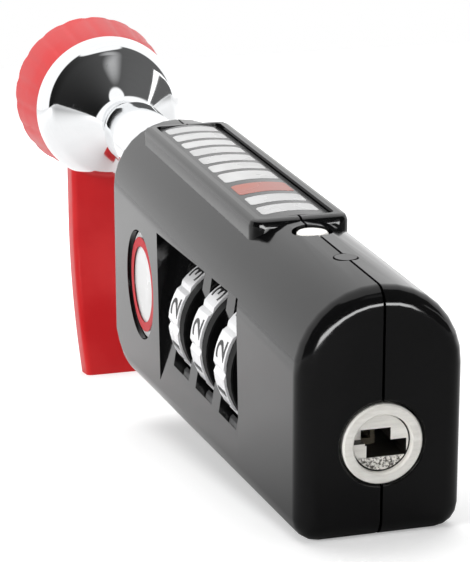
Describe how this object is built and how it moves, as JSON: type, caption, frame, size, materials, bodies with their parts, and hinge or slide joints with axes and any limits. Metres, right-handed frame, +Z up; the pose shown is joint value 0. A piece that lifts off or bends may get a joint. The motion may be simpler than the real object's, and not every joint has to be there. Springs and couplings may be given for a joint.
{
  "type": "combination padlock",
  "caption": "Slim black combination padlock with a key cylinder in its end and a chromed pull-out bolt that ends in a flared head with a red grip and tongue.",
  "frame": {"origin": "centre of the bounding box on the ground that the lock leans on", "axes": "+Y runs from the key end towards the bolt's head, +Z up from the ground, the dials face -X"},
  "size_m": [0.022, 0.1254, 0.0501],
  "materials": {
    "badge_black": "glossy black",
    "black_paint": "high gloss black over a die casting",
    "black_plastic": "satin black",
    "brass": "plain",
    "chrome": "mirror chrome",
    "nickel": "satin nickel plate",
    "red_plastic": "glossy red",
    "silver_band": "bright satin",
    "steel": "plain",
    "white_enamel": "glossy white"
  },
  "bodies": {
    "housing": {"housing_left": "black_paint", "housing_right": "black_paint", "badge_plate": "badge_black", "emblem_disc": "white_enamel", "key_sleeve": "nickel", "detent_spring": "steel", "bolt_bushing": "steel", "latch_spring": "steel", "reset_button_spring": "steel", "pin_plug": "black_paint", "dowel_1": "steel", "dowel_2": "steel", "dowel_3": "steel", "dowel_4": "steel"},
    "dial_1": {"number_ring_1": "silver_band", "dial_wheel_1": "black_plastic", "dial_sleeve_1": "brass"},
    "dial_2": {"number_ring_2": "silver_band", "dial_wheel_2": "black_plastic", "dial_sleeve_2": "brass"},
    "dial_3": {"number_ring_3": "silver_band", "dial_wheel_3": "black_plastic", "dial_sleeve_3": "brass"},
    "key": {"key_plug": "nickel", "key_wafer_1": "brass", "key_wafer_2": "brass", "key_wafer_3": "brass", "plug_cam": "steel"},
    "spindle": {"dial_spindle": "steel"},
    "latch": {"latch_plate": "steel"},
    "bolt": {"bolt": "chrome"},
    "grip": {"pull_grip": "red_plastic"},
    "button": {"reset_button": "nickel"}
  },
  "joints": [
    {"name": "dial_1_turn", "type": "hinge", "parent": "housing", "child": "dial_1", "pos_m": [-0.001, -0.03486, 0.01278], "axis": [0, 0.9923, 0.124], "continuous": true},
    {"name": "dial_2_turn", "type": "hinge", "parent": "housing", "child": "dial_2", "pos_m": [-0.001, -0.02553, 0.01394], "axis": [0, 0.9923, 0.124], "continuous": true},
    {"name": "dial_3_turn", "type": "hinge", "parent": "housing", "child": "dial_3", "pos_m": [-0.001, -0.0162, 0.01511], "axis": [0, 0.9923, 0.124], "continuous": true},
    {"name": "latch_slide", "type": "slide", "parent": "housing", "child": "latch", "axis": [0, -0.1775, 0.9841], "range_m": [0, 0.0016]},
    {"name": "key_turn", "type": "hinge", "parent": "housing", "child": "key", "pos_m": [0, -0.06042, 0.00907], "axis": [0, 0.9841, 0.1775], "range_deg": [0, 90]},
    {"name": "spindle_slide", "type": "slide", "parent": "housing", "child": "spindle", "axis": [0, 0.9923, 0.124], "range_m": [0, 0.0012]},
    {"name": "bolt_pull", "type": "slide", "parent": "housing", "child": "bolt", "axis": [0, 0.9841, 0.1775], "range_m": [0, 0.03]},
    {"name": "grip_swivel", "type": "hinge", "parent": "bolt", "child": "grip", "pos_m": [0, 0.04995, 0.03741], "axis": [0, 0.9841, 0.1775], "continuous": true},
    {"name": "reset_press", "type": "slide", "parent": "housing", "child": "button", "axis": [0, 0.1775, -0.9841], "range_m": [0, 0.0008], "stiffness_N_per_m": 150, "springref_m": -0.0004}
  ],
  "couplings": [
    {"joint": "key_turn", "follows": "latch_slide", "rad_per_m": 980.77},
    {"joint": "spindle_slide", "follows": "latch_slide", "ratio": 0.74925}
  ]
}
